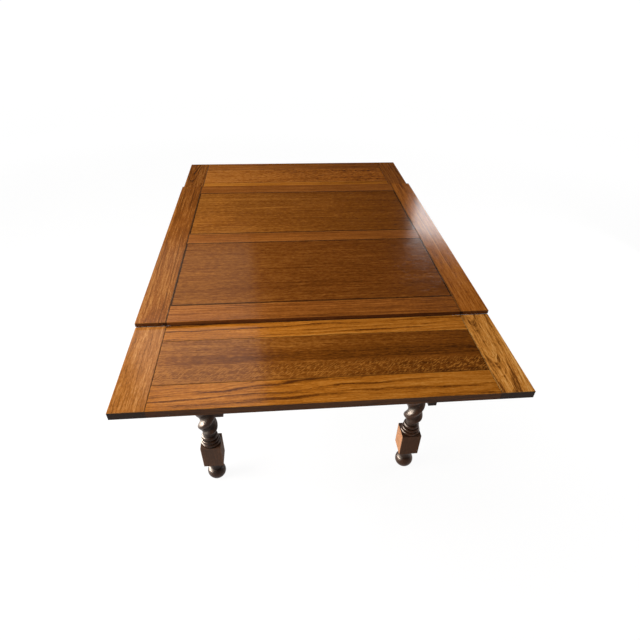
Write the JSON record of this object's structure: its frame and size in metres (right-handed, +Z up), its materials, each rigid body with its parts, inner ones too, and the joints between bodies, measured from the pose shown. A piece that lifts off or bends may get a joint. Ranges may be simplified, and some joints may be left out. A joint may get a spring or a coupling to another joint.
{
  "type": "draw-leaf table",
  "caption": "Oak draw-leaf table on barley twist legs with ball feet: panelled end leaves slide out on tapered lopers from under a loose panelled top.",
  "frame": {"origin": "on the floor under the middle of the table", "axes": "+Z up, +Y along the way the leaves draw out, +X across the table"},
  "size_m": [0.9, 1.48, 0.7729],
  "materials": {
    "frame_oak": "semi-gloss varnish",
    "panel_oak": "semi-gloss varnish",
    "leg_oak": "dark satin stain",
    "apron_oak": "dark satin stain",
    "inner_wood": "bare planed wood",
    "screw_steel": "plain steel"
  },
  "bodies": {
    "frame": {"bearer_back": "inner_wood", "bearer_front": "inner_wood", "centre_board": "inner_wood", "centre_board_screws": "screw_steel", "corner_brace_back_left": "inner_wood", "corner_brace_back_right": "inner_wood", "corner_brace_front_left": "inner_wood", "corner_brace_front_right": "inner_wood", "corner_brace_screws": "screw_steel", "end_rail_back": "apron_oak", "end_rail_front": "apron_oak", "leg_back_left": "leg_oak", "leg_back_right": "leg_oak", "leg_front_left": "leg_oak", "leg_front_right": "leg_oak", "side_rail_left": "apron_oak", "side_rail_right": "apron_oak"},
    "centre_top": {"guide_peg_left": "inner_wood", "guide_peg_pins": "inner_wood", "guide_peg_right": "inner_wood", "top_panel_back": "panel_oak", "top_panel_front": "panel_oak", "top_rail_back": "frame_oak", "top_rail_front": "frame_oak", "top_rail_middle": "frame_oak", "top_stile_left": "frame_oak", "top_stile_right": "frame_oak"},
    "leaf_front": {"leaf_front_loper_left": "inner_wood", "leaf_front_loper_right": "inner_wood", "leaf_front_loper_screws": "screw_steel", "leaf_front_panel": "panel_oak", "leaf_front_rail_inner": "frame_oak", "leaf_front_rail_outer": "frame_oak", "leaf_front_stile_left": "frame_oak", "leaf_front_stile_right": "frame_oak", "leaf_front_stop_pegs": "inner_wood"},
    "leaf_back": {"leaf_back_loper_left": "inner_wood", "leaf_back_loper_right": "inner_wood", "leaf_back_loper_screws": "screw_steel", "leaf_back_panel": "panel_oak", "leaf_back_rail_inner": "frame_oak", "leaf_back_rail_outer": "frame_oak", "leaf_back_stile_left": "frame_oak", "leaf_back_stile_right": "frame_oak", "leaf_back_stop_pegs": "inner_wood"}
  },
  "joints": [
    {"name": "top_lift", "type": "slide", "parent": "frame", "child": "centre_top", "axis": [0, 0, 1], "range_m": [-0.0109, 0.01]},
    {"name": "leaf_front_draw", "type": "slide", "parent": "frame", "child": "leaf_front", "axis": [0, -0.9988, 0.0499], "range_m": [-0.29036, 0]},
    {"name": "leaf_back_draw", "type": "slide", "parent": "frame", "child": "leaf_back", "axis": [0, 0.9988, 0.0499], "range_m": [-0.29036, 0]}
  ]
}
